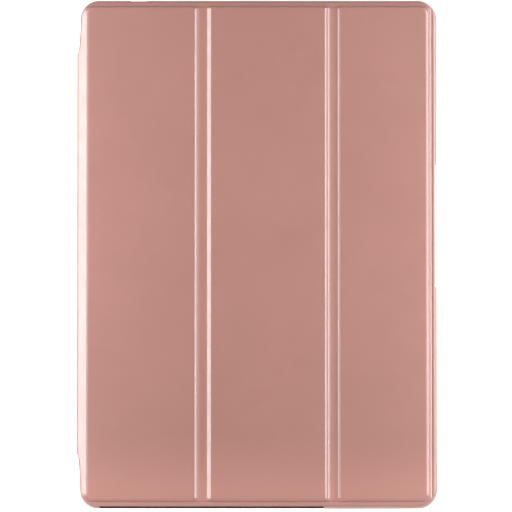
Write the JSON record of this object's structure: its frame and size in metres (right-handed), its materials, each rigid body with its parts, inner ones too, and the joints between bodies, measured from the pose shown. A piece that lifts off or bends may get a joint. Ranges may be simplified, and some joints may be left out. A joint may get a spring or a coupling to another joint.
{
  "type": "tablet computer in a tri-fold cover case",
  "caption": "Thin rectangular tablet computer clipped into a hard shell, with a leather spine and a folding, magnet-closed cover over its screen.",
  "frame": {"origin": "middle of the underside of the closed object: the shell's back, where it rests", "axes": "+X from the spine to the cover's free edge, +Y to the top edge of the screen, +Z out of the screen"},
  "size_m": [0.18, 0.254, 0.0121],
  "materials": {
    "shell_plastic": "satin rose-gold hard plastic, slightly translucent at its thin edges",
    "cover_leather": "satin pearl rose-gold synthetic leather with a very fine grain",
    "lining": "soft warm-grey microfibre",
    "board": "plain grey stiffening board",
    "magnet": "nickel-plated",
    "housing": "bead-blasted, graphite anodised",
    "glass": "black-backed polished cover glass",
    "adhesive": "thin black foam",
    "lcd": "dark laminated display stack",
    "guide": "white light guide with diffuser sheets",
    "pan": "thin pressed steel",
    "flex": "amber polyimide flat cable",
    "cell": "black laminate pouch",
    "tape": "white stretch-release tape",
    "pcb": "green solder mask",
    "can": "tinned pressed shield",
    "chip": "black epoxy package",
    "graphite": "black graphite sheet",
    "screw": "zinc-plated",
    "connector": "stainless steel port shell",
    "moulding": "black moulded plastic",
    "gold_can": "gold-plated can",
    "lens": "coated sapphire over a dark barrel",
    "flash": "warm white diffusing lens",
    "key": "graphite anodised to match the housing"
  },
  "bodies": {
    "case_and_tablet": {"case_shell": "shell_plastic", "back_strip": "cover_leather", "rear_housing": "housing", "cover_glass": "glass", "glass_gasket": "adhesive", "lcd_panel": "lcd", "backlight_guide": "guide", "display_pan": "pan", "display_cable": "flex", "battery_cell_left": "cell", "battery_cell_right": "cell", "battery_adhesive": "tape", "battery_board": "pcb", "battery_lead": "flex", "mainboard": "pcb", "processor_shield": "can", "radio_shield": "can", "processor": "chip", "memory_chips": "chip", "power_chip": "chip", "radio_chip": "chip", "heat_spreader": "graphite", "hall_sensor": "chip", "board_screws": "screw", "port_board": "pcb", "port_screws": "screw", "usb_port": "connector", "main_cable": "flex", "speaker_left": "moulding", "speaker_right": "moulding", "headphone_jack": "moulding", "microphone": "gold_can", "front_camera": "moulding", "light_sensor": "chip", "rear_camera": "moulding", "camera_ring": "housing", "camera_lens": "lens", "flash_lens": "flash", "antenna_top": "moulding", "antenna_bottom": "moulding", "tablet_magnets": "magnet", "key_cable": "flex", "key_domes": "can", "card_reader": "can"},
    "spine": {"spine_skin": "cover_leather", "spine_lining": "lining"},
    "cover_panel_1": {"cover_skin_1": "cover_leather", "cover_board_1": "board", "cover_lining_1": "lining", "stand_magnets": "magnet"},
    "cover_panel_2": {"cover_skin_2": "cover_leather", "cover_board_2": "board", "cover_lining_2": "lining"},
    "cover_panel_3": {"cover_skin_3": "cover_leather", "cover_board_3": "board", "cover_lining_3": "lining", "closure_magnets": "magnet"},
    "power_key": {"power_key": "key"},
    "volume_rocker": {"volume_rocker": "key"},
    "card_tray": {"card_tray": "key"}
  },
  "joints": [
    {"name": "spine_hinge", "type": "hinge", "parent": "case_and_tablet", "child": "spine", "pos_m": [-0.0881, 0, 0.00187], "axis": [0, -1, 0], "range_deg": [0, 179.5]},
    {"name": "cover_hinge", "type": "hinge", "parent": "spine", "child": "cover_panel_1", "pos_m": [-0.0891, 0, 0.00995], "axis": [0, -1, 0], "range_deg": [0, 179.5]},
    {"name": "fold_1", "type": "hinge", "parent": "cover_panel_1", "child": "cover_panel_2", "pos_m": [-0.02735, 0, 0.01225], "axis": [0, 1, 0], "range_deg": [-165, 0]},
    {"name": "fold_2", "type": "hinge", "parent": "cover_panel_2", "child": "cover_panel_3", "pos_m": [0.03835, 0, 0.01225], "axis": [0, 1, 0], "range_deg": [-179.5, 0]},
    {"name": "power_key_press", "type": "slide", "parent": "case_and_tablet", "child": "power_key", "axis": [-1, 0, 0], "range_m": [0, 0.00025], "stiffness_N_per_m": 400, "springref_m": -0.002},
    {"name": "volume_rocker_tilt", "type": "hinge", "parent": "case_and_tablet", "child": "volume_rocker", "pos_m": [0.08725, 0.0125, 0.00535], "axis": [0, 0, 1], "range_deg": [-1.5, 1.5], "stiffness_Nm_per_rad": 0.25},
    {"name": "card_tray_slide", "type": "slide", "parent": "case_and_tablet", "child": "card_tray", "axis": [1, 0, 0], "range_m": [0, 0.024]}
  ]
}
